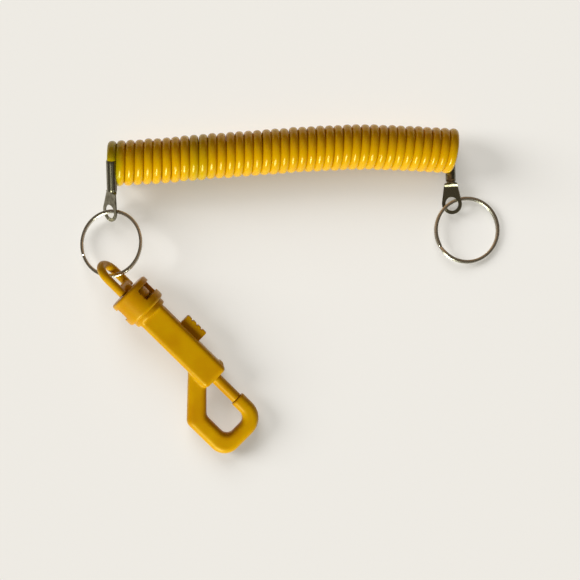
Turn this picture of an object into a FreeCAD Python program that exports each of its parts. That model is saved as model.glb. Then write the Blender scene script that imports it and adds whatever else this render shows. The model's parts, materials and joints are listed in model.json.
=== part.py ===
import FreeCAD, Part
import math
import os
from FreeCAD import Placement, Rotation, Vector

# A coiled tether with a snap hook, in millimetres, lying on the plane z = 0.
# X runs along the coil, Y across it and Z up. The origin is on the plane,
# under the middle of the terminals, rings and snap taken together.

# Cord and coil
cord_diameter = 3.3
crimped_cord_diameter = 2.8
coil_outer_diameter = 16.7
coil_pitch = 3.31
# Points of the coil's axis in plan. The coil lies on the plane.
coil_route = [
    (-63.85, 51.15),
    (-50.3, 51.9),
    (-36.3, 53.45),
    (-12.8, 55.2),
    (10.2, 57.1),
    (34.2, 57.75),
    (57.2, 56.3),
]
arc_share_of_run = 0.45
left_turn_gap = 0.3
right_turn_gap = 0.3
left_turn_stops_at = 5.0

# Crimp terminals, stamped from one sheet
sheet_thickness = 0.45
barrel_length = 11.5
barrel_seam_width = 0.12
cord_end_in_barrel = 0.3
neck_length = 1.1
neck_width = 3.2
neck_overlap = 0.8
shoulder_width = 5.0
tab_length = 11.3
tab_hole_clearance = 1.3
tab_rim_width = 1.3

left_barrel_heading = -90.0
left_barrel_pitch = -20.0
left_barrel_roll = -12.0
left_tab_heading = -96.2
left_tab_pitch = -27.0
left_tab_roll = 45.0

right_barrel_lift = 0.0
right_barrel_start_back = 0.8
right_barrel_heading = -88.5
right_barrel_roll = 190.0
right_tab_heading = -85.5
right_tab_pitch = -6.0
right_tab_roll = 28.0

# Split rings, two turns of flat wire
ring_outer_diameter = 24.9
ring_wire_width = 1.25
ring_wire_thickness = 0.65
ring_turn_gap = 0.04
ring_wire_corner = 0.2
ring_joggle_half_angle = 11.0
ring_joggle_steps = 8

left_ring_side_tilt = 21.0
left_ring_end_tilt = -4.5
left_ring_tab_angle = 94.0
left_ring_below_hole = 0.05
left_ring_joggle_at = 205.0

right_ring_toward_tab = 120.5
right_ring_tilt = 3.0
right_ring_side_tilt = 4.0
right_ring_inside_hole = 0.5
right_ring_below_hole = 0.1
right_ring_joggle_at = 95.0

# Swivel snap. Its own X runs from the eye to the hook.
snap_heading = -45.0
snap_pitch = -4.8
snap_wire_at = 6.6
snap_above_wire = 2.05
snap_angle_on_ring = -85.7

eye_roll = -68.0
eye_bar_radius = 1.6
eye_half_width = 6.35
eye_length = 14.45
eye_leg_end_gap = 0.1
eye_stem_radius = 2.6
eye_head_side_clearance = 1.0
eye_head_thickness = 3.8
eye_head_rounding = 0.6

swivel_clearance = 0.1
swivel_end_play = 0.2
cap_start = 14.6
cap_length = 10.2
cap_radius = 8.05
cap_wall = 1.45
cap_top_thickness = 2.2
cap_rounding = 1.0
window_start = 2.4
window_length = 4.5
window_high = 7.4
window_low = 3.7

spigot_length = 3.2
flange_radius = 6.7
flange_thickness = 2.15
flange_rounding = 0.4
sleeve_width = 10.8
sleeve_height = 10.0
sleeve_length = 33.3
sleeve_rounding = 1.8
front_wall = 3.0
lip_length = 2.0
lip_height = 0.55
lip_width = 6.0
lip_rounding = 0.4

bolt_rod_radius = 2.13
bolt_travel = 8.0
bolt_reach = 10.75
bolt_clearance = 0.1
bolt_end_gap = 0.05
guide_radius = 2.9
guide_length = 7.2
thumb_length = 9.4
thumb_behind_guide = 1.8
thumb_height = 9.5
thumb_thickness = 4.0
thumb_rounding = 0.5
thumb_peaks = 4
thumb_notch = 0.8
slot_front_wall = 14.2
slot_side_clearance = 0.2
slot_end_clearance = 0.2

hook_thickness = 5.6
hook_rounding = 2.3
hook_stem_back = 9.2
hook_elbow = 4.1
hook_side_outer = 19.4
hook_limb_width = 7.2
hook_length = 24.0
hook_end_width = 6.0
hook_tip_outer = 3.0
hook_tip_inner = 2.7
hook_root_depth = 1.0
hook_corner_near = 6.5
hook_corner_far = 8.0
hook_corner_inner = 2.8
hook_corner_elbow = 3.0

spring_wire_radius = 0.3
spring_side_clearance = 0.25
spring_end_clearance = 0.05
spring_turns = 11

# Sizes that follow from the ones above
cord_radius = cord_diameter / 2
coil_radius = coil_outer_diameter / 2
coil_mean_radius = coil_radius - cord_radius
crimp_radius = crimped_cord_diameter / 2
barrel_radius = crimp_radius + sheet_thickness
ring_mean_radius = (ring_outer_diameter - ring_wire_width) / 2
tab_hole_radius = ring_wire_width + tab_hole_clearance
tab_head_radius = tab_hole_radius + tab_rim_width
bore_radius = guide_radius + bolt_clearance
cavity_radius = cap_radius - cap_wall
eye_head_radius = cavity_radius - eye_head_side_clearance
cap_end = cap_start + cap_length
flange_end = cap_end + flange_thickness
sleeve_end = flange_end + sleeve_length
bolt_tip = sleeve_end + bolt_reach
slot_end = sleeve_end - slot_front_wall
thumb_end = slot_end - slot_end_clearance
thumb_start = thumb_end - thumb_length
slot_start = thumb_start - bolt_travel - slot_end_clearance
guide_start = thumb_start + thumb_behind_guide
head_start = cap_start + cap_top_thickness + swivel_end_play
head_end = head_start + eye_head_thickness
bore_start = cap_end - spigot_length


def frame_along(origin, heading, pitch, roll):
    """Local X runs along heading and pitch; roll lifts the local +Y side."""
    turn = Rotation(Vector(0, 0, 1), heading)
    lean = Rotation(Vector(0, 1, 0), -pitch)
    spin = Rotation(Vector(1, 0, 0), roll)
    return Placement(origin, turn.multiply(lean).multiply(spin))


def placed(shape, frame):
    """A copy of the shape, moved from its local frame to the object's frame."""
    result = shape.copy()
    result.Placement = frame.multiply(result.Placement)
    return result


def round_bar(start, end, radius):
    """A round bar between two points."""
    along = end.sub(start)
    return Part.makeCylinder(radius, along.Length, start, along)


def disc(start, end, radius):
    """A round bar along local X."""
    return round_bar(Vector(start, 0, 0), Vector(end, 0, 0), radius)


def block(low, high):
    """A box between its lowest and highest corners."""
    size = high.sub(low)
    return Part.makeBox(size.x, size.y, size.z, low)


def rounded_outline(corners):
    """A closed flat wire through (x, y, radius) corners, each rounded by its radius."""
    count = len(corners)
    points = [Vector(x, y, 0) for x, y, radius in corners]
    edges = []
    last = None
    first = None
    for index in range(count):
        here = points[index]
        radius = corners[index][2]
        before = points[index - 1].sub(here).normalize()
        after = points[(index + 1) % count].sub(here).normalize()
        if radius > 0:
            half = before.getAngle(after) / 2
            inset = radius / math.tan(half)
            start = here.add(before * inset)
            end = here.add(after * inset)
            middle_way = before.add(after).normalize()
            middle = here.add(middle_way * (radius / math.sin(half) - radius))
            arc = Part.Arc(start, middle, end).toShape()
        else:
            start = here
            end = here
            arc = None
        if last is not None:
            edges.append(Part.LineSegment(last, start).toShape())
        else:
            first = start
        if arc is not None:
            edges.append(arc)
        last = end
    edges.append(Part.LineSegment(last, first).toShape())
    return Part.Wire(edges)


def plate(wire, low, high):
    """The wire's face, made solid from z = low to z = high."""
    face = Part.Face(wire)
    face.translate(Vector(0, 0, low))
    return face.extrude(Vector(0, 0, high - low))


def tangent_arc_path(points):
    """Straight runs joined by tangent arcs. It also returns the arcs' radii."""
    edges = []
    radii = []
    start = points[0]
    for index in range(1, len(points) - 1):
        here = points[index]
        back = points[index - 1].sub(here)
        ahead = points[index + 1].sub(here)
        inset = arc_share_of_run * min(back.Length, ahead.Length)
        back.normalize()
        ahead.normalize()
        half_turn = (math.pi - back.getAngle(ahead)) / 2
        radius = inset / math.tan(half_turn)
        arc_start = here.add(back * inset)
        arc_end = here.add(ahead * inset)
        toward_centre = back.add(ahead).normalize()
        sagitta = radius / math.cos(half_turn) - radius
        middle = here.add(toward_centre * sagitta)
        edges.append(Part.LineSegment(start, arc_start).toShape())
        edges.append(Part.Arc(arc_start, middle, arc_end).toShape())
        radii.append(radius)
        start = arc_end
    edges.append(Part.LineSegment(start, points[-1]).toShape())
    return Part.Wire(edges), radii


# Cord

route_points = [Vector(x, y, coil_radius) for x, y in coil_route]


def heading_between(start, end):
    """The plan heading from one point to another, in degrees."""
    return math.degrees(math.atan2(end.y - start.y, end.x - start.x))


def coil_cord():
    """The coil's outer shape: one fat tube along its axis."""
    path, radii = tangent_arc_path(route_points)
    along = route_points[1].sub(route_points[0])
    outline = Part.Wire(Part.makeCircle(coil_radius, route_points[0], along))
    tube = path.makePipeShell([outline], True, False)
    expected = math.pi * coil_radius**2 * path.Length
    print("coil_cord radii:", [round(radius) for radius in radii])
    print("coil_cord volume / section x length: %.4f" % (tube.Volume / expected))
    turns = path.Length / coil_pitch
    turn_length = math.hypot(2 * math.pi * coil_mean_radius, coil_pitch)
    print("cord in the coil: %.0f turns, %.0f mm" % (turns, turns * turn_length))
    return tube


def end_turn(frame, start_angle, shift):
    """A turn's far half, from start_angle past the top round to the bottom.

    The frame's X is the coil's axis. The bottom lies shift further along it than the top.
    """
    lean = Rotation(Vector(0, 1, 0), -math.degrees(math.atan2(shift, 2 * coil_mean_radius)))
    axis = lean.multVec(Vector(1, 0, 0))
    top = lean.multVec(Vector(0, 0, coil_mean_radius))
    section = Part.Face(Part.Wire(Part.makeCircle(cord_radius, top, Vector(0, 1, 0))))
    section.rotate(Vector(0, 0, 0), axis, -start_angle)
    turn = section.revolve(Vector(0, 0, 0), axis, start_angle - 180)
    return placed(turn, frame)


left_route_heading = heading_between(route_points[0], route_points[1])
right_route_heading = heading_between(route_points[-2], route_points[-1])
left_turn_shift = coil_pitch / 2
left_turn_centre = frame_along(route_points[0], left_route_heading, 0, 0).multVec(
    Vector(-cord_radius - left_turn_gap + left_turn_shift / 2, 0, 0)
)
right_turn_centre = frame_along(route_points[-1], right_route_heading, 0, 0).multVec(
    Vector(cord_radius + right_turn_gap, 0, 0)
)
left_turn_frame = frame_along(left_turn_centre, left_route_heading, 0, 0)
right_turn_frame = frame_along(right_turn_centre, right_route_heading, 0, 0)

left_barrel_start = left_turn_frame.multVec(
    Vector(
        -left_turn_shift / 2,
        coil_mean_radius * math.sin(math.radians(left_turn_stops_at)),
        coil_mean_radius * math.cos(math.radians(left_turn_stops_at)),
    )
)
left_barrel_frame = frame_along(
    left_barrel_start, left_barrel_heading, left_barrel_pitch, left_barrel_roll
)
right_barrel_start = Vector(
    right_turn_centre.x,
    right_turn_centre.y + right_barrel_start_back,
    barrel_radius + right_barrel_lift,
)
right_barrel_frame = frame_along(
    right_barrel_start, right_barrel_heading, 0, right_barrel_roll
)


def cord_in_barrel(barrel_frame):
    """The crimped end of the cord."""
    return placed(disc(0, barrel_length - cord_end_in_barrel, crimp_radius), barrel_frame)


def left_end_turn():
    """The coil's last half turn on the left, over the top and into the barrel."""
    turn = end_turn(left_turn_frame, left_turn_stops_at, left_turn_shift)
    return turn.fuse(cord_in_barrel(left_barrel_frame)).removeSplitter()


def right_end_turn():
    """The coil's last half turn on the right, down the back, under and into the barrel."""
    turn = end_turn(right_turn_frame, 0, 0)
    return turn.fuse(cord_in_barrel(right_barrel_frame)).removeSplitter()


# Terminals


def rectangle(frame, width, thickness):
    """A rectangular wire across the frame's X axis, centred on its origin."""
    corners = [
        Vector(0, side * width / 2, face * thickness / 2)
        for side, face in ((-1, -1), (1, -1), (1, 1), (-1, 1))
    ]
    corners = [frame.multVec(corner) for corner in corners]
    return Part.makePolygon(corners + corners[:1])


def neck_frame(barrel_frame, along):
    """The base strip's frame: under the barrel, opposite its seam."""
    base = Placement(Vector(along, 0, -crimp_radius - sheet_thickness / 2), Rotation())
    return barrel_frame.multiply(base)


def tab_frame(barrel_frame, heading, pitch, roll):
    """The tab's frame: its origin is the shoulder's middle, its X points to the tip."""
    half_neck = neck_length / 2
    strip_end = neck_frame(barrel_frame, barrel_length + half_neck).Base
    direction = frame_along(strip_end, heading, pitch, roll)
    return frame_along(direction.multVec(Vector(half_neck, 0, 0)), heading, pitch, roll)


def tab_outline():
    """The tab in plan: it widens from the shoulder to a round head."""
    centre_x = tab_length - tab_head_radius
    half_shoulder = shoulder_width / 2
    reach = math.hypot(centre_x, half_shoulder)
    back = math.atan2(half_shoulder, -centre_x)
    tangent = back - math.acos(tab_head_radius / reach)
    tangent_x = centre_x + tab_head_radius * math.cos(tangent)
    tangent_y = tab_head_radius * math.sin(tangent)
    tip = Vector(tab_length, 0, 0)
    upper = Vector(tangent_x, tangent_y, 0)
    lower = Vector(tangent_x, -tangent_y, 0)
    upper_shoulder = Vector(0, half_shoulder, 0)
    lower_shoulder = Vector(0, -half_shoulder, 0)
    edges = [
        Part.LineSegment(lower_shoulder, lower).toShape(),
        Part.Arc(lower, tip, upper).toShape(),
        Part.LineSegment(upper, upper_shoulder).toShape(),
        Part.LineSegment(upper_shoulder, lower_shoulder).toShape(),
    ]
    return Part.Wire(edges)


def terminal(barrel_frame, tab):
    """A crimp terminal: rolled barrel, neck and eye tab."""
    barrel = disc(0, barrel_length, barrel_radius)
    barrel = barrel.cut(disc(-1, barrel_length + 1, crimp_radius))
    seam = block(
        Vector(-1, -barrel_seam_width / 2, 0),
        Vector(barrel_length + 1, barrel_seam_width / 2, 2 * barrel_radius),
    )
    barrel = placed(barrel.cut(seam), barrel_frame)
    strip_start = neck_frame(barrel_frame, barrel_length - neck_overlap)
    strip_end = neck_frame(barrel_frame, barrel_length)
    strip = Part.makeLoft(
        [
            rectangle(strip_start, neck_width / 2, sheet_thickness),
            rectangle(strip_end, neck_width, sheet_thickness),
        ],
        True,
        True,
    )
    neck = Part.makeLoft(
        [
            rectangle(strip_end, neck_width, sheet_thickness),
            rectangle(tab, shoulder_width, sheet_thickness),
        ],
        True,
        True,
    )
    head = plate(tab_outline(), -sheet_thickness / 2, sheet_thickness / 2)
    hole = Part.makeCylinder(
        tab_hole_radius,
        2 * sheet_thickness,
        Vector(tab_length - tab_head_radius, 0, -sheet_thickness),
    )
    head = placed(head.cut(hole), tab)
    return barrel.fuse([strip, neck, head])


left_tab_frame = tab_frame(
    left_barrel_frame, left_tab_heading, left_tab_pitch, left_tab_roll
)
right_tab_frame = tab_frame(
    right_barrel_frame, right_tab_heading, right_tab_pitch, right_tab_roll
)
hole_on_tab = Vector(tab_length - tab_head_radius, 0, 0)
left_hole = left_tab_frame.multVec(hole_on_tab)
right_hole = right_tab_frame.multVec(hole_on_tab)


# Split rings


def point_on_ring(rotation, angle, radius):
    """From the ring's centre to its wire at an angle from the ring's local X."""
    turn = math.radians(angle)
    return rotation.multVec(Vector(radius * math.cos(turn), radius * math.sin(turn), 0))


left_ring_rotation = frame_along(
    Vector(0, 0, 0), 0, left_ring_side_tilt, left_ring_end_tilt
).Rotation
left_ring_centre = left_hole.sub(
    point_on_ring(left_ring_rotation, left_ring_tab_angle, ring_mean_radius)
).sub(Vector(0, 0, left_ring_below_hole))
left_ring_frame = Placement(left_ring_centre, left_ring_rotation)

right_ring_rotation = frame_along(
    Vector(0, 0, 0), right_ring_toward_tab, right_ring_tilt, right_ring_side_tilt
).Rotation
right_ring_centre = right_hole.sub(
    point_on_ring(right_ring_rotation, 0, ring_mean_radius - right_ring_inside_hole)
).sub(Vector(0, 0, right_ring_below_hole))
right_ring_frame = Placement(right_ring_centre, right_ring_rotation)


def ring_section(angle, height):
    """The flat wire's rounded section, at an angle round the ring."""
    half_width = ring_wire_width / 2
    half_thickness = (ring_wire_thickness - ring_turn_gap) / 2
    outline = rounded_outline(
        [
            (-half_width, -half_thickness, ring_wire_corner),
            (half_width, -half_thickness, ring_wire_corner),
            (half_width, half_thickness, ring_wire_corner),
            (-half_width, half_thickness, ring_wire_corner),
        ]
    )
    stand = Placement(
        Vector(ring_mean_radius, 0, height), Rotation(Vector(1, 0, 0), 90)
    )
    turn = Placement(Vector(0, 0, 0), Rotation(Vector(0, 0, 1), angle))
    return placed(outline, turn.multiply(stand))


def split_ring(frame, joggle_at):
    """Two turns of one flat wire, which steps from the lower turn to the upper one."""
    layer = ring_wire_thickness / 2
    swept = 360 - 2 * ring_joggle_half_angle
    start = joggle_at + ring_joggle_half_angle
    axis = Vector(0, 0, 1)
    lower = Part.Face(ring_section(start, -layer)).revolve(Vector(0, 0, 0), axis, swept)
    upper = Part.Face(ring_section(start, layer)).revolve(Vector(0, 0, 0), axis, swept)
    sections = []
    for step in range(ring_joggle_steps + 1):
        share = step / ring_joggle_steps
        angle = joggle_at + ring_joggle_half_angle * (2 * share - 1)
        height = layer * (2 * share * share * (3 - 2 * share) - 1)
        sections.append(ring_section(angle, height))
    joggle = Part.makeLoft(sections, True, True)
    return placed(lower.fuse([joggle, upper]), frame)


# Snap

eye_wire_point = left_ring_centre.add(
    point_on_ring(left_ring_rotation, snap_angle_on_ring, ring_mean_radius)
)
snap_rotation = frame_along(Vector(0, 0, 0), snap_heading, snap_pitch, 0).Rotation
snap_start = (
    eye_wire_point.add(Vector(0, 0, snap_above_wire))
    .sub(snap_rotation.multVec(Vector(snap_wire_at, 0, 0)))
)
snap_frame = Placement(snap_start, snap_rotation)


def swivel_eye():
    """The ring's loop, with the stem and head that turn inside the cap."""
    end_centre = eye_half_width
    side = eye_half_width - eye_bar_radius
    base = eye_length - eye_bar_radius
    leg_reach = eye_length - eye_leg_end_gap
    end = Part.makeTorus(
        side, eye_bar_radius, Vector(end_centre, 0, 0), Vector(0, 0, 1), -180, 180, 180
    )
    end.rotate(Vector(end_centre, 0, 0), Vector(0, 0, 1), 90)
    pieces = [end]
    for way in (-1, 1):
        leg_end = Vector(leg_reach, way * side, 0)
        pieces.append(round_bar(Vector(end_centre, way * side, 0), leg_end, eye_bar_radius))
    pieces.append(round_bar(Vector(base, -side, 0), Vector(base, side, 0), eye_bar_radius))
    pieces.append(disc(base, head_start + eye_head_thickness / 2, eye_stem_radius))
    head = disc(head_start, head_end, eye_head_radius)
    pieces.append(head.makeFillet(eye_head_rounding, circle_edges(head)))
    eye = pieces[0].fuse(pieces[1:]).removeSplitter()
    eye.rotate(Vector(0, 0, 0), Vector(1, 0, 0), eye_roll)
    return placed(eye, snap_frame)


def circle_edges(shape):
    """The shape's round rims."""
    return [edge for edge in shape.Edges if isinstance(edge.Curve, Part.Circle)]


def swivel_cap():
    """The round cap: it holds the eye's head and has a window on each side."""
    drum = disc(cap_start, cap_end, cap_radius)
    drum = drum.makeFillet(cap_rounding, circle_edges(drum))
    drum = drum.cut(disc(cap_start + cap_top_thickness, cap_end + 1, cavity_radius))
    stem_hole = eye_stem_radius + swivel_clearance
    drum = drum.cut(disc(cap_start - 1, cap_end, stem_hole))
    window = block(
        Vector(cap_start + window_start, 0, -window_low),
        Vector(cap_start + window_start + window_length, 2 * cap_radius, window_high),
    )
    drum = drum.cut(window)
    window.rotate(Vector(0, 0, 0), Vector(1, 0, 0), 180)
    drum = drum.cut(window)
    return placed(drum, snap_frame)


def hook_outline():
    """The hook in plan, from the sleeve's side round to its tip."""
    end = sleeve_end + hook_length
    end_inner = end - hook_end_width
    side_inner = hook_side_outer - hook_limb_width
    root = sleeve_width / 2 - hook_root_depth
    root_front = sleeve_end - hook_root_depth / 2
    tip_start = bolt_tip + bolt_end_gap
    inner_elbow = root_front + side_inner - root
    return rounded_outline(
        [
            (sleeve_end - hook_stem_back, -root, 0),
            (sleeve_end - hook_stem_back, -sleeve_width / 2, 0),
            (sleeve_end + hook_elbow, -hook_side_outer, hook_corner_elbow),
            (end, -hook_side_outer, hook_corner_near),
            (end, hook_tip_outer, hook_corner_far),
            (tip_start, hook_tip_outer, 0),
            (tip_start, -hook_tip_inner, 0),
            (end_inner, -hook_tip_inner, hook_corner_inner),
            (end_inner, -side_inner, hook_corner_inner),
            (inner_elbow, -side_inner, hook_corner_elbow),
            (root_front, -root, 0),
        ]
    )


def hook():
    """The hook's bar, with rounded edges outside the sleeve."""
    half = hook_thickness / 2
    bar = plate(hook_outline(), -half, half)
    tip_start = bolt_tip + bolt_end_gap
    rims = []
    for edge in bar.Edges:
        middle = edge.CenterOfMass
        flat = abs(abs(middle.z) - half) < 1e-6
        at_tip = abs(middle.x - tip_start) < 1e-6 and abs(middle.y) < hook_tip_outer
        at_root = middle.x < sleeve_end and middle.y > -sleeve_width / 2
        if flat and not at_tip and not at_root:
            rims.append(edge)
    return bar.makeFillet(hook_rounding, rims)


def hook_body():
    """Spigot, flange, square sleeve and hook in one moulding."""
    spigot = disc(bore_start, cap_end + flange_rounding, cavity_radius)
    flange = disc(cap_end, flange_end, flange_radius)
    flange = flange.makeFillet(flange_rounding, circle_edges(flange))
    sleeve = block(
        Vector(flange_end - flange_rounding, -sleeve_width / 2, -sleeve_height / 2),
        Vector(sleeve_end, sleeve_width / 2, sleeve_height / 2),
    )
    back = flange_end
    rims = [edge for edge in sleeve.Edges if edge.CenterOfMass.x > back]
    sleeve = sleeve.makeFillet(sleeve_rounding, rims)
    lip = block(
        Vector(sleeve_end - sleeve_rounding - lip_length, 0, -lip_width / 2),
        Vector(sleeve_end - sleeve_rounding, sleeve_width / 2 + lip_height, lip_width / 2),
    )
    lip = lip.makeFillet(lip_rounding, lip.Edges)
    body = sleeve.fuse([spigot, flange, hook(), lip])
    body = body.cut(disc(bore_start - 1, sleeve_end - front_wall, bore_radius))
    rod_hole = bolt_rod_radius + bolt_clearance
    body = body.cut(disc(bore_start, sleeve_end + 1, rod_hole))
    half_slot = thumb_thickness / 2 + slot_side_clearance
    slot = block(
        Vector(slot_start, 0, -half_slot), Vector(slot_end, sleeve_width, half_slot)
    )
    return placed(body.cut(slot), snap_frame)


def thumb_outline():
    """The thumb piece from the side, with its row of grip notches."""
    corners = [(thumb_start, 0, 0)]
    step = thumb_length / thumb_peaks
    for peak in range(thumb_peaks):
        start = thumb_start + peak * step
        if peak > 0:
            corners.append((start, thumb_height - thumb_notch, 0))
        corners.append((start + step * 0.2, thumb_height, 0))
        corners.append((start + step * 0.8, thumb_height, 0))
    corners.append((thumb_end, 0, 0))
    corners[1] = (thumb_start, thumb_height, thumb_rounding)
    corners[-2] = (thumb_end, thumb_height, thumb_rounding)
    return rounded_outline(corners)


def trigger_bolt():
    """The sliding bolt: rod, guide and thumb piece in one moulding."""
    guide_end = guide_start + guide_length
    stem = disc(guide_start, bolt_tip, bolt_rod_radius)
    guide = disc(guide_start, guide_end, guide_radius)
    thumb = plate(thumb_outline(), -thumb_thickness / 2, thumb_thickness / 2)
    thumb = thumb.cut(disc(thumb_start - 1, guide_start, guide_radius))
    return placed(stem.fuse([guide, thumb]), snap_frame)


def bolt_spring():
    """The compression spring between the eye's head and the bolt."""
    start = head_end + spring_end_clearance
    length = guide_start - spring_end_clearance - start
    coil_length = length - 2 * spring_wire_radius
    radius = bore_radius - spring_side_clearance - spring_wire_radius
    helix = Part.makeHelix(coil_length / spring_turns, coil_length, radius)
    section = Part.Wire(
        Part.makeCircle(spring_wire_radius, Vector(radius, 0, 0), Vector(0, 1, 0))
    )
    spring = Part.Wire(helix).makePipeShell([section], True, True)
    stand = Placement(
        Vector(start + spring_wire_radius, 0, 0), Rotation(Vector(0, 1, 0), 90)
    )
    return placed(spring, snap_frame.multiply(stand))


def main():
    """Builds each piece and writes it to its own file."""
    nodes = {
        "coil_cord": coil_cord(),
        "left_end_turn": left_end_turn(),
        "right_end_turn": right_end_turn(),
        "left_terminal": terminal(left_barrel_frame, left_tab_frame),
        "right_terminal": terminal(right_barrel_frame, right_tab_frame),
        "left_split_ring": split_ring(left_ring_frame, left_ring_joggle_at),
        "right_split_ring": split_ring(right_ring_frame, right_ring_joggle_at),
        "swivel_eye": swivel_eye(),
        "swivel_cap": swivel_cap(),
        "hook_body": hook_body(),
        "trigger_bolt": trigger_bolt(),
        "bolt_spring": bolt_spring(),
    }
    os.makedirs("parts", exist_ok=True)
    for name, shape in nodes.items():
        shape.exportStep("parts/" + name + ".step")
    return nodes


nodes = main()
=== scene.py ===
import json
import math

import bmesh
import bpy
from mathutils import Matrix, Vector, noise

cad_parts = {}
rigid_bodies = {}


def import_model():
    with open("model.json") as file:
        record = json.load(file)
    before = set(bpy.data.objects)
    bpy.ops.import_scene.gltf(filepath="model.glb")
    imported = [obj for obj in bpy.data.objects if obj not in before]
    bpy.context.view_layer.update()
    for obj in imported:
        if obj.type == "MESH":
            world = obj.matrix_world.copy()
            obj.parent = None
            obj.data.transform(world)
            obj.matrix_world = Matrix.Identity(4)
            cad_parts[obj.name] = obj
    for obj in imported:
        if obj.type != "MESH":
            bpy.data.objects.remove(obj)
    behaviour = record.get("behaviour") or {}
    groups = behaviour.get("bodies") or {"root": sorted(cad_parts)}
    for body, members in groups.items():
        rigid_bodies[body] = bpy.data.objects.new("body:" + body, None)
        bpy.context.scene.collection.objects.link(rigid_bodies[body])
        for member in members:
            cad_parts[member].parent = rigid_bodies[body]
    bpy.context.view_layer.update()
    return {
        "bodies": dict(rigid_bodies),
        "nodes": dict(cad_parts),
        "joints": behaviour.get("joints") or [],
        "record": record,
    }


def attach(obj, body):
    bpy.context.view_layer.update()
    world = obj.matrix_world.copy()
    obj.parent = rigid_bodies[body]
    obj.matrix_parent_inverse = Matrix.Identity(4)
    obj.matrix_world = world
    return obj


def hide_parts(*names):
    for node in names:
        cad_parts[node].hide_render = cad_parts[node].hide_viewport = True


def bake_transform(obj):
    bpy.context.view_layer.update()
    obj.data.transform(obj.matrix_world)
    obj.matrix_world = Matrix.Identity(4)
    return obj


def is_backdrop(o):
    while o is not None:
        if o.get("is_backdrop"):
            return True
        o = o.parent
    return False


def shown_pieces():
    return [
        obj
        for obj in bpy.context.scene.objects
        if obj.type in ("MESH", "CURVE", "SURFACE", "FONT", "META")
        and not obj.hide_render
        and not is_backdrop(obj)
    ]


# A coiled tether with a snap hook, in metres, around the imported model.

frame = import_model()
mm = 0.001
print("frame loaded")


cameraView = {
    "place": (-0.02549, 0.00845, 0.52771),
    "looksAt": (-0.0006, 0.00486, 0.0),
    "angle": 23.16,
    "near": 0.01,
}


def addCamera(view):
    data = bpy.data.cameras.new("camera")
    data.angle = math.radians(view["angle"])
    data.clip_start = view["near"]
    camera = bpy.data.objects.new("camera", data)
    bpy.context.scene.collection.objects.link(camera)
    camera.location = view["place"]
    # the view's upper edge is toward +Y
    ahead = (Vector(view["looksAt"]) - Vector(view["place"])).normalized()
    right = ahead.cross(Vector((0, 1, 0))).normalized()
    turn = Matrix((right, right.cross(ahead), -ahead)).transposed()
    camera.rotation_euler = turn.to_euler()
    bpy.context.scene.camera = camera


addCamera(cameraView)
bpy.context.scene.view_settings.view_transform = "Standard"
bpy.context.scene.view_settings.look = "None"


class Value:
    # one output socket of a node, written in sums
    def __init__(self, bench, socket):
        self.bench = bench
        self.socket = socket

    def maths(self, operation, first, second):
        return self.bench.node("ShaderNodeMath", {"operation": operation}, {0: first, 1: second})

    def __add__(self, other):
        return self.maths("ADD", self, other)

    def __radd__(self, other):
        return self.maths("ADD", other, self)

    def __sub__(self, other):
        return self.maths("SUBTRACT", self, other)

    def __rsub__(self, other):
        return self.maths("SUBTRACT", other, self)

    def __mul__(self, other):
        return self.maths("MULTIPLY", self, other)

    def __rmul__(self, other):
        return self.maths("MULTIPLY", other, self)


class NodeBench:
    # an empty node tree, and the one way to put nodes in it
    def __init__(self, tree):
        self.tree = tree
        self.tree.nodes.clear()

    def plug(self, socket, value):
        if isinstance(value, Value):
            self.tree.links.new(value.socket, socket)
        elif isinstance(value, tuple) and len(value) == 3 and socket.type == "RGBA":
            socket.default_value = (*value, 1.0)
        else:
            socket.default_value = value

    def node(self, kind, settings=None, inputs=None, output=0):
        made = self.tree.nodes.new(kind)
        for name, value in (settings or {}).items():
            if name == "stops":
                self.setStops(made.color_ramp, value)
            else:
                setattr(made, name, value)
        for name, value in (inputs or {}).items():
            self.plug(made.inputs[name], value)
        return None if output is None else Value(self, made.outputs[output])

    def setStops(self, ramp, stops):
        while len(ramp.elements) < len(stops):
            ramp.elements.new(0.5)
        for element, (place, shade) in zip(ramp.elements, stops):
            element.position = place
            element.color = (shade, shade, shade, 1.0)


class Finish(NodeBench):
    # a material and its shader
    def __init__(self, name):
        self.material = bpy.data.materials.new(name)
        self.material.use_nodes = True
        super().__init__(self.material.node_tree)
        shader = self.node("ShaderNodeBsdfPrincipled")
        self.shader = shader.socket.node
        self.node("ShaderNodeOutputMaterial", None, {"Surface": shader}, output=None)

    def set(self, **inputs):
        for name, value in inputs.items():
            self.plug(self.shader.inputs[shaderSockets[name]], value)

    def place(self):
        # the piece's own coordinates, in millimetres
        metres = self.node("ShaderNodeTexCoord", output="Object")
        return self.node("ShaderNodeVectorMath", {"operation": "SCALE"}, {0: metres, "Scale": 1 / mm})

    def stretched(self, place, scale, turn=(0.0, 0.0, 0.0)):
        # turns the coordinates, then scales them
        return self.node(
            "ShaderNodeMapping",
            {"vector_type": "TEXTURE"},
            {"Vector": place, "Rotation": turn, "Scale": scale},
        )

    def grain(self, place, size, detail=2.0, roughness=0.5):
        # soft noise whose marks are about size millimetres long
        return self.node(
            "ShaderNodeTexNoise",
            {"noise_dimensions": "3D"},
            {"Vector": place, "Scale": 1 / size, "Detail": detail, "Roughness": roughness},
        )

    def between(self, value, stops):
        return self.node("ShaderNodeValToRGB", {"stops": stops}, {"Fac": value})

    def blendColours(self, share, first, second):
        return self.node(
            "ShaderNodeMix",
            {"data_type": "RGBA"},
            {"Factor": share, 6: first, 7: second},
            output=2,
        )

    def relief(self, height, depth):
        # depth is in millimetres
        return self.node(
            "ShaderNodeBump", None, {"Height": height, "Distance": depth * mm, "Strength": 1.0}
        )


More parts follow.
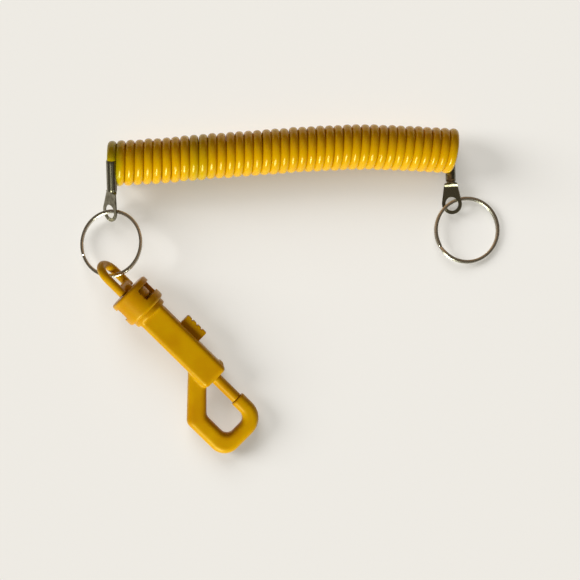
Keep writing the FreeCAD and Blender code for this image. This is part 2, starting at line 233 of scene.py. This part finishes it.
shaderSockets = {
    "colour": "Base Color",
    "metal": "Metallic",
    "roughness": "Roughness",
    "normal": "Normal",
    "softness": "Subsurface Weight",
    "softDepth": "Subsurface Scale",
    "softSpread": "Subsurface Radius",
    "specular": "Specular IOR Level",
    "ior": "IOR",
    "tint": "Specular Tint",
    "glow": "Emission Color",
    "glowStrength": "Emission Strength",
}


cordLook = {
    "gold": (0.73, 0.42, 0.0),
    "amber": (0.66, 0.33, 0.0),
    "olive": (0.44, 0.33, 0.0),
    "sheen": (1.0, 0.92, 0.45),
    "roughness": 0.19,
    "roughnessRange": 0.08,
    "start": -66.0,
    "length": 130.0,
    "oliveAlong": [
        (0.022, 1.0),
        (0.034, 0.2),
        (0.19, 0.05),
        (0.24, 0.55),
        (0.3, 0.1),
        (0.94, 0.0),
        (0.99, 0.5),
    ],
    "oliveWander": 0.03,
    "cloudSize": 9.0,
    "hazeSize": 1.4,
    "dentSize": 3.5,
    "dentDepth": 0.01,
    "specular": 0.5,
    "ior": 1.42,
    "softness": 0.35,
    "softDepth": 0.0018,
    "softSpread": (1.0, 0.6, 0.05),
}


def cordFinish(look):
    finish = Finish("cordPolyurethane")
    place = finish.place()
    alongCoil = finish.stretched(place, (1.0, 4.0, 4.0))
    clouds = finish.grain(alongCoil, look["cloudSize"], 3.0)
    across = finish.node("ShaderNodeSeparateXYZ", None, {"Vector": place})
    wander = (clouds - 0.5) * look["oliveWander"]
    share = (across - look["start"]) * (1 / look["length"]) + wander
    aging = finish.between(share, look["oliveAlong"])
    warm = finish.blendColours(clouds, look["gold"], look["amber"])
    haze = finish.grain(place, look["hazeSize"], 3.0)
    dents = finish.grain(place, look["dentSize"], 0.0)
    finish.set(
        colour=finish.blendColours(aging, warm, look["olive"]),
        roughness=look["roughness"] - look["roughnessRange"] / 2 + haze * look["roughnessRange"],
        normal=finish.relief(dents, look["dentDepth"]),
        specular=look["specular"],
        ior=look["ior"],
        tint=look["sheen"],
        softness=look["softness"],
        softDepth=look["softDepth"],
        softSpread=look["softSpread"],
    )
    return finish.material


plasticLook = {
    "gold": (0.55, 0.29, 0.0),
    "amber": (0.48, 0.215, 0.0),
    "sheen": (1.0, 0.82, 0.25),
    "roughness": 0.34,
    "roughnessRange": 0.12,
    "flowSize": 3.0,
    "flowTurn": -45.0,
    "cloudSize": 11.0,
    "fineSize": 0.35,
    "reliefDepth": 0.008,
    "specular": 0.4,
    "ior": 1.42,
    "softness": 0.2,
    "softDepth": 0.0015,
    "softSpread": (1.0, 0.5, 0.05),
}


def plasticFinish(look):
    finish = Finish("snapMoulding")
    place = finish.place()
    alongSnap = finish.stretched(place, (3.0, 1.0, 1.0), (0, 0, math.radians(look["flowTurn"])))
    flow = finish.grain(alongSnap, look["flowSize"], 4.0)
    patches = finish.grain(place, look["cloudSize"], 2.0)
    clouds = finish.between(patches, [(0.35, 0.0), (0.7, 1.0)])
    fine = finish.grain(place, look["fineSize"], 3.0)
    finish.set(
        colour=finish.blendColours(clouds, look["gold"], look["amber"]),
        roughness=look["roughness"] - look["roughnessRange"] / 2 + flow * look["roughnessRange"],
        normal=finish.relief(flow * 0.5 + fine * 0.5, look["reliefDepth"]),
        specular=look["specular"],
        ior=look["ior"],
        tint=look["sheen"],
        softness=look["softness"],
        softDepth=look["softDepth"],
        softSpread=look["softSpread"],
    )
    return finish.material


terminalLook = {
    "bright": (0.25, 0.23, 0.17),
    "dull": (0.15, 0.135, 0.095),
    "roughness": 0.26,
    "stainSize": 1.6,
    "lineSize": 0.4,
}
ringLook = {
    "bright": (0.72, 0.69, 0.61),
    "dull": (0.56, 0.525, 0.44),
    "roughness": 0.24,
    "stainSize": 3.0,
    "lineSize": 0.3,
}
springLook = {
    "bright": (0.55, 0.55, 0.55),
    "dull": (0.35, 0.34, 0.33),
    "roughness": 0.25,
    "stainSize": 1.5,
    "lineSize": 0.2,
}


def steelFinish(name, look):
    # drawn lines under soft stains; the stains are duller
    finish = Finish(name)
    place = finish.place()
    patches = finish.grain(place, look["stainSize"], 4.0, 0.6)
    stains = finish.between(patches, [(0.38, 0.0), (0.62, 1.0)])
    lines = finish.grain(finish.stretched(place, (0.25, 2.5, 0.25)), look["lineSize"], 3.0)
    finish.set(
        colour=finish.blendColours(stains, look["bright"], look["dull"]),
        metal=1.0,
        roughness=look["roughness"] - 0.04 + stains * 0.08 + lines * 0.05,
        normal=finish.relief(lines, 0.003),
    )
    return finish.material


cordMaterial = cordFinish(cordLook)
plasticMaterial = plasticFinish(plasticLook)
terminalMaterial = steelFinish("terminalSteel", terminalLook)
ringMaterial = steelFinish("ringNickel", ringLook)
springMaterial = steelFinish("springWire", springLook)
print("finishes made")


def frameAt(place, heading, pitch=0.0, roll=0.0):
    # local X runs along heading and pitch, and roll lifts the local +Y side; place is in millimetres
    turn = (
        Matrix.Rotation(math.radians(heading), 4, "Z")
        @ Matrix.Rotation(-math.radians(pitch), 4, "Y")
        @ Matrix.Rotation(math.radians(roll), 4, "X")
    )
    return Matrix.Translation(Vector(place) * mm) @ turn


def sectionPoint(angle, wide, high, squareness):
    # a round section at squareness 2, and squarer above it
    power = 2 / squareness
    across = math.cos(angle)
    up = math.sin(angle)
    return (
        math.copysign(abs(across) ** power, across) * wide,
        math.copysign(abs(up) ** power, up) * high,
    )


def sweptMesh(name, stations, sides):
    # a closed bar: each station has its place, its outward way, half sizes and squareness
    vertices = []
    faces = []
    count = len(stations)
    for index, (place, outward, high, wide, squareness) in enumerate(stations):
        before = stations[max(index - 1, 0)][0]
        after = stations[min(index + 1, count - 1)][0]
        ahead = (after - before).normalized()
        outward = (outward - ahead * outward.dot(ahead)).normalized()
        across = ahead.cross(outward)
        for side in range(sides):
            x, y = sectionPoint(2 * math.pi * side / sides, wide, high, squareness)
            vertices.append(place + across * x + outward * y)
    for index in range(count - 1):
        for side in range(sides):
            first = index * sides + side
            second = index * sides + (side + 1) % sides
            faces.append((first, second, second + sides, first + sides))
    faces.append(tuple(reversed(range(sides))))
    faces.append(tuple(range((count - 1) * sides, count * sides)))
    return meshOf(name, vertices, faces)


def meshOf(name, vertices, faces):
    mesh = bpy.data.meshes.new(name)
    mesh.from_pydata([tuple(vertex) for vertex in vertices], [], faces)
    mesh.validate()
    mesh.update()
    mesh.shade_smooth()
    return mesh


def addPiece(name, mesh, material):
    piece = bpy.data.objects.new(name, mesh)
    bpy.context.scene.collection.objects.link(piece)
    piece.data.materials.append(material)
    return piece


def followEvenly(count, margin, sides, before=0, behind=0):
    # a share from 0 to 1 for every ring of a swept bar, by its place along the bar; the shares are not
    # returned or used
    shares = [0.0] * (before * sides)
    for index in range(count):
        share = min(1.0, max(0.0, (index - margin) / (count - 1 - 2 * margin)))
        shares.extend([share] * sides)
    shares.extend([1.0] * (behind * sides))


def smoothStep(value):
    value = min(1.0, max(0.0, value))
    return value * value * (3 - 2 * value)


cordPlan = {
    "diameter": 3.3 * mm,
    "crimpedDiameter": 2.7 * mm,
    "squareness": 2.25,
    "crimpedSquareness": 2.0,
    "coilRadius": 6.7 * mm,
    "turns": 38.5,
    "startAngle": 5.0,
    "beyondEnds": 1.95 * mm,
    "lean": 0.5 * mm,
    "height": 8.35,
    "route": [
        (-63.85, 51.15),
        (-50.3, 51.9),
        (-36.3, 53.45),
        (-12.8, 55.2),
        (10.2, 57.1),
        (34.2, 57.75),
        (57.2, 56.3),
    ],
    "routeSteps": 24,
    "stepsPerTurn": 56,
    "sides": 20,
    "pitchDrift": 0.018,
    "unevenSide": 0.2 * mm,
    "sideWave": 0.17,
    "sideSeed": 7.7,
    "unevenAlong": 0.16 * mm,
    "alongWave": 0.35,
    "alongSeed": 3.1,
    "settling": 12,
    "leftBarrel": {"place": (-65.829, 51.625, 15.025), "heading": -90.0, "pitch": -20.0},
    "rightBarrel": {"place": (59.146, 56.977, 1.85), "heading": -88.5},
    "inBarrel": 11.2 * mm,
    "stepsInBarrel": 12,
}


def splinePoints(name, points, steps):
    # a smooth line through the route, read back as points
    data = bpy.data.curves.new(name, "CURVE")
    data.dimensions = "3D"
    spline = data.splines.new("NURBS")
    spline.points.add(len(points) - 1)
    for knot, point in zip(spline.points, points):
        knot.co = (*point, 1.0)
    spline.order_u = 3
    spline.use_endpoint_u = True
    spline.resolution_u = steps
    line = bpy.data.objects.new(name, data)
    bpy.context.scene.collection.objects.link(line)
    bpy.context.view_layer.update()
    mesh = bpy.data.meshes.new_from_object(line)
    found = [vertex.co.copy() for vertex in mesh.vertices]
    bpy.data.objects.remove(line)
    bpy.data.curves.remove(data)
    bpy.data.meshes.remove(mesh)
    return found


class Path:
    # a line of points that gives the place and the direction at a distance along it
    def __init__(self, points):
        self.points = points
        self.distances = [0.0]
        for before, after in zip(points, points[1:]):
            self.distances.append(self.distances[-1] + (after - before).length)
        self.length = self.distances[-1]

    def at(self, distance):
        index = 0
        while index < len(self.points) - 2 and self.distances[index + 1] < distance:
            index += 1
        start = self.points[index]
        run = self.points[index + 1] - start
        share = (distance - self.distances[index]) / run.length
        return start + run * share, run.normalized()


def coilStations(plan):
    # the coil's turns, from the top at the left end to the underside at the right end
    route = [Vector((x, y, plan["height"])) * mm for x, y in plan["route"]]
    axis = Path(splinePoints("coilRoute", route, plan["routeSteps"]))
    whole = plan["turns"] * 2 * math.pi
    first = math.radians(plan["startAngle"])
    reach = axis.length + 2 * plan["beyondEnds"]
    count = round(plan["turns"] * plan["stepsPerTurn"])
    half = plan["diameter"] / 2
    up = Vector((0, 0, 1))
    stations = []
    for step in range(count + 1):
        turned = first + (whole - first) * step / count
        share = turned / whole
        settled = min(1.0, plan["settling"] * share, plan["settling"] * (1 - share))
        drift = plan["pitchDrift"] / math.pi * math.sin(math.pi * share)
        alongNoise = noise.noise(Vector((turned * plan["alongWave"], plan["alongSeed"], 0.0)))
        uneven = plan["unevenAlong"] * alongNoise * settled
        # the turns lean: their tops stand nearer to the right end than their undersides
        lean = plan["lean"] * (math.cos(turned) - 1 + 2 * share)
        place, ahead = axis.at((share + drift) * reach - plan["beyondEnds"] + lean + uneven)
        side = up.cross(ahead).normalized()
        sideNoise = noise.noise(Vector((turned * plan["sideWave"], plan["sideSeed"], 0.0)))
        sway = sideNoise * plan["unevenSide"] * settled
        outward = side * math.sin(turned) + up * math.cos(turned)
        centre = place + outward * plan["coilRadius"] + side * sway
        stations.append((centre, outward, half, half, plan["squareness"]))
    return stations


def barrelStations(plan, barrel, outward):
    # the crimped end, from the mouth inward
    frame = frameAt(**barrel)
    half = plan["crimpedDiameter"] / 2
    steps = plan["stepsInBarrel"]
    stations = []
    for step in range(steps):
        place = frame @ Vector((plan["inBarrel"] * (step + 1) / steps, 0, 0))
        stations.append((place, outward, half, half, plan["crimpedSquareness"]))
    return stations


def addCord(plan):
    up = Vector((0, 0, 1))
    left = barrelStations(plan, plan["leftBarrel"], up)
    right = barrelStations(plan, plan["rightBarrel"], -up)
    coil = coilStations(plan)
    stations = left[::-1] + coil + right
    points = [station[0] for station in stations]
    mesh = sweptMesh("coiledCord", stations, plan["sides"])
    piece = addPiece("coiledCord", mesh, cordMaterial)
    length = sum((after - before).length for before, after in zip(points, points[1:]))
    print("cord length %.3f m" % length)
    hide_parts("coil_cord", "left_end_turn", "right_end_turn")
    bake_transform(piece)
    halfTurn = plan["stepsPerTurn"] // 2
    followEvenly(len(coil), halfTurn, plan["sides"], len(left), len(right))


addCord(cordPlan)
print("cord made")


terminalPlans = {
    "leftTerminal": {
        "node": "left_terminal",
        "body": "tether",
        "barrel": {"place": (-65.829, 51.625, 15.025), "heading": -90.0, "pitch": -20.0, "roll": -12.0},
        "tab": {"place": (-66.22, 40.358, 9.16), "heading": -96.2, "pitch": -27.0, "roll": 45.0},
        "hump": 0.15,
    },
    "rightTerminal": {
        "node": "right_terminal",
        "body": "right_end",
        "barrel": {"place": (59.146, 56.977, 1.85), "heading": -88.5, "pitch": 0.0, "roll": 190.0},
        "tab": {"place": (59.222, 44.379, 3.393), "heading": -85.5, "pitch": -6.0, "roll": 28.0},
        "hump": 0.6,
    },
}
stamping = {
    "sheet": 0.45,
    "barrelLength": 11.5,
    "bore": 1.42,
    "barrelRadius": 1.86,
    "seamDepth": 0.07,
    "seamWidth": 0.07,
    "outOfRound": 0.02,
    "barrelSides": 72,
    "barrelSteps": 12,
    "mouthSteps": 6,
    "neckOverlap": 0.8,
    "neckLength": 1.1,
    "neckHalfWidth": 1.6,
    "rootShare": 0.75,
    "humpRise": 0.8,
    "humpTop": 0.9,
    "humpFall": 1.3,
    "shoulderHalfWidth": 2.5,
    "tabLength": 11.3,
    "headRadius": 3.85,
    "holeRadius": 2.55,
    "edgeRounding": 0.09,
    "edgeSteps": 2,
    "edgeAngle": 50.0,
    "rootSteps": 20,
    "rootStep": 0.2,
    "flareSteps": 12,
    "holeSteps": 28,
    "tipSteps": 8,
    "columns": 8,
    "weld": 0.02,
    "sliver": 0.005,
}


def barrelMesh(name, frame, plan):
    # a rolled tube with a closed seam on top and rounded mouths
    sides = plan["barrelSides"]
    length = plan["barrelLength"]
    rim = (plan["barrelRadius"] - plan["bore"]) / 2
    middle = plan["bore"] + rim
    steps = plan["mouthSteps"]
    profile = []
    for step in range(steps + 1):
        turn = 3 * math.pi / 2 - math.pi * step / steps
        profile.append((rim + rim * math.cos(turn), middle + rim * math.sin(turn)))
    for step in range(1, plan["barrelSteps"]):
        along = rim + (length - 2 * rim) * step / plan["barrelSteps"]
        profile.append((along, plan["barrelRadius"]))
    for step in range(steps + 1):
        turn = math.pi / 2 - math.pi * step / steps
        profile.append((length - rim + rim * math.cos(turn), middle + rim * math.sin(turn)))
    vertices = []
    for along, radius in profile:
        outer = smoothStep((radius - plan["bore"]) / (plan["barrelRadius"] - plan["bore"]))
        bulge = plan["outOfRound"] * math.sin(math.pi * along / length) * outer
        for side in range(sides):
            angle = 2 * math.pi * side / sides
            fromSeam = math.atan2(-math.cos(angle), math.sin(angle))
            crease = plan["seamDepth"] * math.exp(-((fromSeam / plan["seamWidth"]) ** 2)) * outer
            reach = radius - crease + bulge * math.sin(2 * angle)
            local = Vector((along, reach * math.cos(angle), reach * math.sin(angle)))
            vertices.append(frame @ (local * mm))
    faces = []
    rows = len(profile)
    for row in range(rows):
        nextRow = (row + 1) % rows
        for side in range(sides):
            after = (side + 1) % sides
            here = row * sides
            there = nextRow * sides
            faces.append((here + side, here + after, there + after, there + side))
    return meshOf(name, vertices, faces)


def sheetHalfWidth(along, plan):
    # half the strip's width: neck, shoulder, then a straight flare into the round head
    if along < 0:
        root = plan["rootShare"]
        widened = smoothStep((along + plan["neckOverlap"]) / plan["neckOverlap"])
        return plan["neckHalfWidth"] * (root + (1 - root) * widened)
    if along < plan["neckLength"]:
        share = smoothStep(along / plan["neckLength"])
        return plan["neckHalfWidth"] + (plan["shoulderHalfWidth"] - plan["neckHalfWidth"]) * share
    radius = plan["headRadius"]
    centre = plan["tabLength"] - radius
    x = along - plan["neckLength"]
    half = plan["shoulderHalfWidth"]
    reach = math.hypot(centre, half)
    tangent = math.atan2(half, -centre) - math.acos(radius / reach)
    touchX = centre + radius * math.cos(tangent)
    touchY = radius * math.sin(tangent)
    if x < touchX:
        return half + (touchY - half) * x / touchX
    return math.sqrt(max(0.0, radius * radius - (x - centre) ** 2))


def sheetFrame(along, start, tab, plan, hump):
    # the strip leaves the barrel, turns into the tab's plane and may rise in a joggle before it
    neck = plan["neckLength"]
    share = min(1.0, max(0.0, along / neck))
    startPlace, startTurn, _ = start.decompose()
    tabPlace, tabTurn, _ = tab.decompose()
    startWay = startTurn @ Vector((1, 0, 0))
    tabWay = tabTurn @ Vector((1, 0, 0))
    if along <= 0:
        place = startPlace + startWay * along * mm
    elif along >= neck:
        place = tabPlace + tabWay * (along - neck) * mm
    else:
        bow = (tabPlace - startPlace).length
        square = share * share
        cube = square * share
        place = (
            startPlace * (2 * cube - 3 * square + 1)
            + startWay * bow * (cube - 2 * square + share)
            + tabPlace * (3 * square - 2 * cube)
            + tabWay * bow * (cube - square)
        )
    turn = startTurn.slerp(tabTurn, smoothStep(share))
    climb = smoothStep(along / plan["humpRise"])
    fall = smoothStep((along - plan["humpTop"]) / plan["humpFall"])
    lift = Vector((0, 0, 1)) * (hump * climb * (1 - fall)) * mm
    return Matrix.Translation(place + lift) @ turn.to_matrix().to_4x4()


def stripStations(plan):
    # distances along the strip, closer together round the hole, the bend and the tip
    total = plan["neckLength"] + plan["tabLength"]
    centre = total - plan["headRadius"]
    marks = [-plan["neckOverlap"] + plan["rootStep"] * step for step in range(plan["rootSteps"])]
    fromMark = marks[-1]
    holeStart = centre - plan["holeRadius"]
    steps = plan["flareSteps"]
    for step in range(1, steps + 1):
        marks.append(fromMark + (holeStart - fromMark) * step / steps)
    steps = plan["holeSteps"]
    for step in range(1, steps + 1):
        marks.append(centre - plan["holeRadius"] * math.cos(math.pi * step / steps))
    holeEnd = marks[-1]
    steps = plan["tipSteps"]
    for step in range(1, steps + 1):
        marks.append(holeEnd + (total - holeEnd) * math.sin(math.pi / 2 * step / steps))
    return marks, centre


def stripMesh(name, start, tab, plan, hump):
    # a flat strip with its round hole, one half on each side of the middle line
    marks, centre = stripStations(plan)
    columns = plan["columns"]
    vertices = []
    for along in marks:
        outer = max(0.0, sheetHalfWidth(along, plan))
        inner = math.sqrt(max(0.0, plan["holeRadius"] ** 2 - (along - centre) ** 2))
        frame = sheetFrame(along, start, tab, plan, hump)
        for way in (-1, 1):
            for column in range(columns + 1):
                across = way * (inner + (outer - inner) * column / columns)
                vertices.append(frame @ Vector((0, across * mm, 0)))
    rowLength = 2 * (columns + 1)
    faces = []
    for row in range(len(marks) - 1):
        for half in range(2):
            for column in range(columns):
                first = row * rowLength + half * (columns + 1) + column
                corners = (first, first + 1, first + 1 + rowLength, first + rowLength)
                faces.append(corners if half else corners[::-1])
    mesh = meshOf(name, vertices, faces)
    work = bmesh.new()
    work.from_mesh(mesh)
    bmesh.ops.remove_doubles(work, verts=work.verts, dist=plan["weld"] * mm)
    bmesh.ops.dissolve_degenerate(work, edges=work.edges, dist=plan["sliver"] * mm)
    work.to_mesh(mesh)
    work.free()
    return mesh


def frozen(piece):
    # the piece's modifiers become its mesh
    bpy.context.view_layer.update()
    graph = bpy.context.evaluated_depsgraph_get()
    mesh = bpy.data.meshes.new_from_object(piece.evaluated_get(graph))
    piece.modifiers.clear()
    piece.data = mesh
    return piece


def joined(name, pieces, material):
    # one mesh from several pieces
    work = bmesh.new()
    for piece in pieces:
        work.from_mesh(piece.data)
        bpy.data.objects.remove(piece)
    mesh = bpy.data.meshes.new(name)
    work.to_mesh(mesh)
    work.free()
    mesh.shade_smooth()
    return addPiece(name, mesh, material)


def addTerminal(name, plan, shape):
    barrelFrame = frameAt(**plan["barrel"])
    base = Vector((shape["barrelLength"], 0, -(shape["barrelRadius"] + shape["bore"]) / 2)) * mm
    start = barrelFrame @ Matrix.Translation(base)
    tab = frameAt(**plan["tab"])
    sheet = stripMesh(name + "Strip", start, tab, shape, plan["hump"])
    strip = addPiece(name + "Strip", sheet, terminalMaterial)
    thicken = strip.modifiers.new("sheet", "SOLIDIFY")
    thicken.thickness = shape["sheet"] * mm
    thicken.offset = 0.0
    soften = strip.modifiers.new("edge", "BEVEL")
    soften.width = shape["edgeRounding"] * mm
    soften.segments = shape["edgeSteps"]
    soften.limit_method = "ANGLE"
    soften.angle_limit = math.radians(shape["edgeAngle"])
    frozen(strip)
    tube = barrelMesh(name + "Barrel", barrelFrame, shape)
    barrel = addPiece(name + "Barrel", tube, terminalMaterial)
    piece = joined(name, [strip, barrel], terminalMaterial)
    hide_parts(plan["node"])
    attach(piece, plan["body"])


for name, plan in terminalPlans.items():
    addTerminal(name, plan, stamping)
print("terminals made")


ringPlans = {
    "leftSplitRing": {
        "node": "left_split_ring",
        "body": "left_ring",
        "frame": {"place": (-66.499, 21.999, 6.887), "heading": 0.0, "pitch": 21.0, "roll": -4.5},
        "joggle": 205.0,
        "shiftToward": 40.0,
    },
    "rightSplitRing": {
        "node": "right_split_ring",
        "body": "right_ring",
        "frame": {"place": (65.544, 27.248, 1.921), "heading": 120.5, "pitch": 3.0, "roll": 4.0},
        "joggle": 95.0,
        "shiftToward": 300.0,
    },
}
ringWire = {
    "meanRadius": 11.825,
    "width": 1.2,
    "thickness": 0.6,
    "layer": 0.325,
    "joggleHalf": 14.0,
    "endGapShare": 0.25,
    "endTaper": 0.2,
    "endSteps": 2,
    "shift": 0.12,
    "squareness": 3.4,
    "stepsPerTurn": 120,
    "sides": 24,
}


def ringStations(plan, wire):
    # two turns: the lower one steps up into the upper one at the joggle
    frame = frameAt(**plan["frame"])
    outward = (frame.to_3x3() @ Vector((0, 0, 1))).normalized()
    gap = wire["joggleHalf"] * wire["endGapShare"]
    sweep = 720 - 2 * gap
    count = round(sweep / 360 * wire["stepsPerTurn"])
    stations = []
    for step in range(count + 1):
        turned = gap + sweep * step / count
        angle = math.radians(plan["joggle"] + turned)
        climb = smoothStep((turned - 360 + wire["joggleHalf"]) / (2 * wire["joggleHalf"]))
        level = wire["layer"] * (2 * climb - 1)
        shift = wire["shift"] * (2 * climb - 1) * math.cos(angle - math.radians(plan["shiftToward"]))
        radius = wire["meanRadius"] + shift
        place = frame @ (Vector((radius * math.cos(angle), radius * math.sin(angle), level)) * mm)
        fromEnd = min(step, count - step)
        fullness = 1 - wire["endTaper"] * (1 - smoothStep(fromEnd / wire["endSteps"]))
        high = wire["thickness"] / 2 * mm * fullness
        wide = wire["width"] / 2 * mm * fullness
        stations.append((place, outward, high, wide, wire["squareness"]))
    return stations


def addRing(name, plan, wire):
    mesh = sweptMesh(name, ringStations(plan, wire), wire["sides"])
    piece = addPiece(name, mesh, ringMaterial)
    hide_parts(plan["node"])
    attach(piece, plan["body"])


for name, plan in ringPlans.items():
    addRing(name, plan, ringWire)
print("split rings made")


mouldings = {
    "swivelEye": {"node": "swivel_eye", "body": "eye", "voxel": 0.2, "passes": 14, "kept": 0.4},
    "swivelCap": {"node": "swivel_cap", "body": "snap", "voxel": 0.16, "passes": 8, "kept": 0.4},
    "hookBody": {"node": "hook_body", "body": "snap", "voxel": 0.2, "passes": 45, "kept": 0.3},
    "triggerBolt": {"node": "trigger_bolt", "body": "bolt", "voxel": 0.14, "passes": 16, "kept": 0.4},
}


def addMoulding(name, plan):
    # the frame's shape, with its edges rounded as they leave a mould
    mesh = frame["nodes"][plan["node"]].data.copy()
    mesh.name = name
    mesh.materials.clear()
    piece = addPiece(name, mesh, plasticMaterial)
    skin = piece.modifiers.new("skin", "REMESH")
    skin.mode = "VOXEL"
    skin.voxel_size = plan["voxel"] * mm
    skin.use_smooth_shade = True
    soften = piece.modifiers.new("soften", "SMOOTH")
    soften.factor = 0.5
    soften.iterations = plan["passes"]
    thin = piece.modifiers.new("thin", "DECIMATE")
    thin.ratio = plan["kept"]
    frozen(piece)
    piece.data.shade_smooth()
    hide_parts(plan["node"])
    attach(piece, plan["body"])


for name, plan in mouldings.items():
    addMoulding(name, plan)
print("snap mouldings made")


springPlan = {
    "snap": {"place": (-70.653, 14.895, 10.671), "heading": -45.0, "pitch": -4.8},
    "from": 20.8,
    "to": 38.25,
    "turns": 11,
    "radius": 2.45,
    "wire": 0.3,
    "endGap": 0.05,
    "stepsPerTurn": 26,
    "sides": 10,
    "squareness": 2.0,
}


def addSpring(plan):
    # a wire coil along the snap's axis, between two distances along it
    snap = frameAt(**plan["snap"])
    first = plan["from"] + plan["endGap"] + plan["wire"]
    last = plan["to"] - plan["endGap"] - plan["wire"]
    count = plan["turns"] * plan["stepsPerTurn"]
    wire = plan["wire"] * mm
    stations = []
    for step in range(count + 1):
        angle = 2 * math.pi * step / plan["stepsPerTurn"]
        along = first + (last - first) * step / count
        outward = Vector((0, math.cos(angle), math.sin(angle)))
        place = snap @ ((Vector((along, 0, 0)) + outward * plan["radius"]) * mm)
        stations.append((place, snap.to_3x3() @ outward, wire, wire, plan["squareness"]))
    mesh = sweptMesh("boltSpring", stations, plan["sides"])
    piece = addPiece("boltSpring", mesh, springMaterial)
    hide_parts("bolt_spring")
    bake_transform(piece)
    followEvenly(len(stations), 0, plan["sides"])


addSpring(springPlan)
print("spring made")


floorLook = {
    "size": 8.0,
    "drop": 0.0001,
    "tone": (0.5, 0.492, 0.475),
    "glow": (0.331, 0.32, 0.291),
    "speckSize": 1.2,
    "speckShade": 0.985,
    "roughness": 0.9,
}


def floorFinish(look):
    finish = Finish("paleFloor")
    place = finish.place()
    specks = finish.grain(place, look["speckSize"], 3.0)
    darker = tuple(look["speckShade"] * part for part in look["tone"])
    finish.set(
        colour=finish.blendColours(specks, look["tone"], darker),
        roughness=look["roughness"],
        specular=0.0,
        glow=look["glow"],
        glowStrength=1.0,
    )
    return finish.material


def addFloor(look):
    half = look["size"] / 2
    mesh = bpy.data.meshes.new("floor")
    corners = [(-half, -half, 0), (half, -half, 0), (half, half, 0), (-half, half, 0)]
    mesh.from_pydata(corners, [], [(0, 1, 2, 3)])
    floor = addPiece("floor", mesh, floorFinish(look))
    floor.location.z = -look["drop"]
    floor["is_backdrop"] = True
    return floor


floor = addFloor(floorLook)

lightPlan = {
    "floorOverhead": {
        "kind": "SUN",
        "from": (0.0, 0.0, 1.0),
        "angle": 12.0,
        "strength": 0.15,
        "on": "floor",
    },
    "floorFar": {
        "kind": "SUN",
        "from": (-0.25, 0.9, 0.7),
        "angle": 40.0,
        "strength": 2.15,
        "on": "floor",
    },
    "floorLeft": {
        "kind": "SUN",
        "from": (-0.9, 0.2, 0.45),
        "angle": 30.0,
        "strength": 3.5,
        "on": "floor",
    },
    "key": {
        "kind": "AREA",
        "from": (-0.17, -0.53, 0.29),
        "size": (0.25, 0.38),
        "strength": 6.1,
        "tint": (0.94, 1.0, 0.82),
        "on": "object",
    },
    "fill": {
        "kind": "AREA",
        "from": (-0.1, 0.3, 0.6),
        "size": (0.8, 0.6),
        "strength": 0.66,
        "tint": (1.0, 0.57, 0.3),
        "on": "object",
    },
}


def addLight(name, plan, receivers):
    data = bpy.data.lights.new(name, plan["kind"])
    light = bpy.data.objects.new(name, data)
    bpy.context.scene.collection.objects.link(light)
    data.energy = plan["strength"]
    data.color = plan.get("tint", (1.0, 1.0, 1.0))
    if plan["kind"] == "SUN":
        data.angle = math.radians(plan["angle"])
    else:
        data.shape = "RECTANGLE"
        data.size, data.size_y = plan["size"]
    light.location = plan["from"]
    light.rotation_mode = "QUATERNION"
    light.rotation_quaternion = (-Vector(plan["from"])).to_track_quat("-Z", "Y")
    light.light_linking.receiver_collection = receivers[plan["on"]]


def addLights(plans):
    floorGroup = bpy.data.collections.new("litFloor")
    floorGroup.objects.link(floor)
    objectGroup = bpy.data.collections.new("litObject")
    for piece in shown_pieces():
        objectGroup.objects.link(piece)
    receivers = {"floor": floorGroup, "object": objectGroup}
    for name, plan in plans.items():
        addLight(name, plan, receivers)


addLights(lightPlan)

roomLook = {"seen": (0.86, 0.84, 0.79), "lights": (0.11, 0.095, 0.075)}


def addRoom(look):
    # the room looks pale, and lights the piece only a little
    world = bpy.data.worlds.new("room")
    world.use_nodes = True
    bench = NodeBench(world.node_tree)
    seen = bench.node("ShaderNodeBackground", None, {"Color": look["seen"]})
    lights = bench.node("ShaderNodeBackground", None, {"Color": look["lights"]})
    straight = bench.node("ShaderNodeLightPath", output="Is Camera Ray")
    choose = bench.node("ShaderNodeMixShader", None, {"Fac": straight, 1: lights, 2: seen})
    bench.node("ShaderNodeOutputWorld", None, {"Surface": choose}, output=None)
    bpy.context.scene.world = world


addRoom(roomLook)
print("floor and light made")
